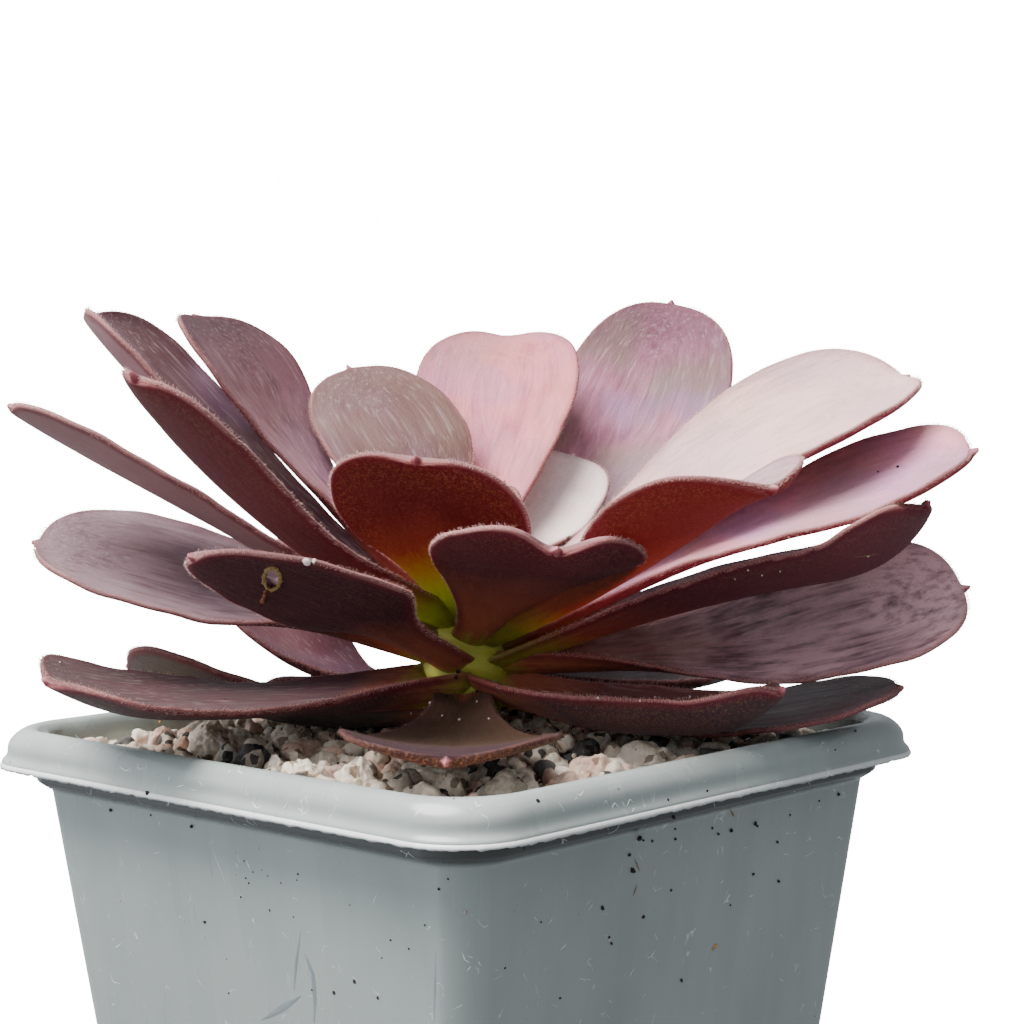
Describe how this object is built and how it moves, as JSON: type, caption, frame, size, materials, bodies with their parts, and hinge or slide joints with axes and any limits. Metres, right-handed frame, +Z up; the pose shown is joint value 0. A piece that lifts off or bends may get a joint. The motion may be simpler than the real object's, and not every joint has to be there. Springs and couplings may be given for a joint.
{
  "type": "potted aeonium",
  "caption": "Dark spoon-leaved succulent rosette on a short stem, rooted in soil and grit in a square grey plastic nursery pot.",
  "frame": {"origin": "centre of the pot's flat bottom face", "axes": "+Z up along the pot's axis; +X and +Y square to two sides of the pot; the picture looks from the corner at -X, -Y"},
  "size_m": [0.1176, 0.1051, 0.1379],
  "materials": {
    "pot": "moulded polypropylene, semi-gloss, scuffed",
    "soil": "dark potting mix",
    "grit": "crushed pumice and granite grit",
    "stem": "living stem, yellow-green, downy",
    "upper_leaf": "living leaf, mauve with a grey bloom, velvety",
    "middle_leaf": "living leaf, burgundy, velvety",
    "lower_leaf": "living leaf, dark burgundy, dusty",
    "rear_leaf": "living leaf, mauve and burgundy, velvety",
    "young_leaf": "living young leaf, red-green, velvety",
    "heart": "living bud, yellow-green"
  },
  "bodies": {
    "root": {"pot": "pot", "soil": "soil", "grit": "grit", "stem": "stem", "middle_leaf_4": "middle_leaf", "lower_leaf_3": "lower_leaf", "lower_leaf_4": "lower_leaf", "middle_leaf_9": "middle_leaf", "middle_leaf_3": "middle_leaf", "middle_leaf_5": "middle_leaf", "lower_leaf_1": "lower_leaf", "middle_leaf_2": "middle_leaf", "middle_leaf_6": "middle_leaf", "lower_leaf_5": "lower_leaf", "middle_leaf_1": "middle_leaf", "upper_leaf_8": "upper_leaf", "middle_leaf_7": "middle_leaf", "middle_leaf_8": "middle_leaf", "lower_leaf_7": "lower_leaf", "upper_leaf_7": "upper_leaf", "middle_leaf_10": "middle_leaf", "upper_leaf_1": "upper_leaf", "upper_leaf_2": "upper_leaf", "upper_leaf_3": "upper_leaf", "upper_leaf_6": "upper_leaf", "lower_leaf_2": "lower_leaf", "lower_leaf_6": "lower_leaf", "upper_leaf_4": "upper_leaf", "upper_leaf_5": "upper_leaf", "rear_leaf_1": "rear_leaf", "rear_leaf_2": "rear_leaf", "rear_leaf_3": "rear_leaf", "rear_leaf_4": "rear_leaf", "rear_leaf_5": "rear_leaf", "young_leaf_1": "young_leaf", "young_leaf_2": "young_leaf", "young_leaf_3": "young_leaf", "young_leaf_4": "young_leaf", "young_leaf_5": "young_leaf", "young_leaf_6": "young_leaf", "heart": "heart"}
  },
  "joints": []
}
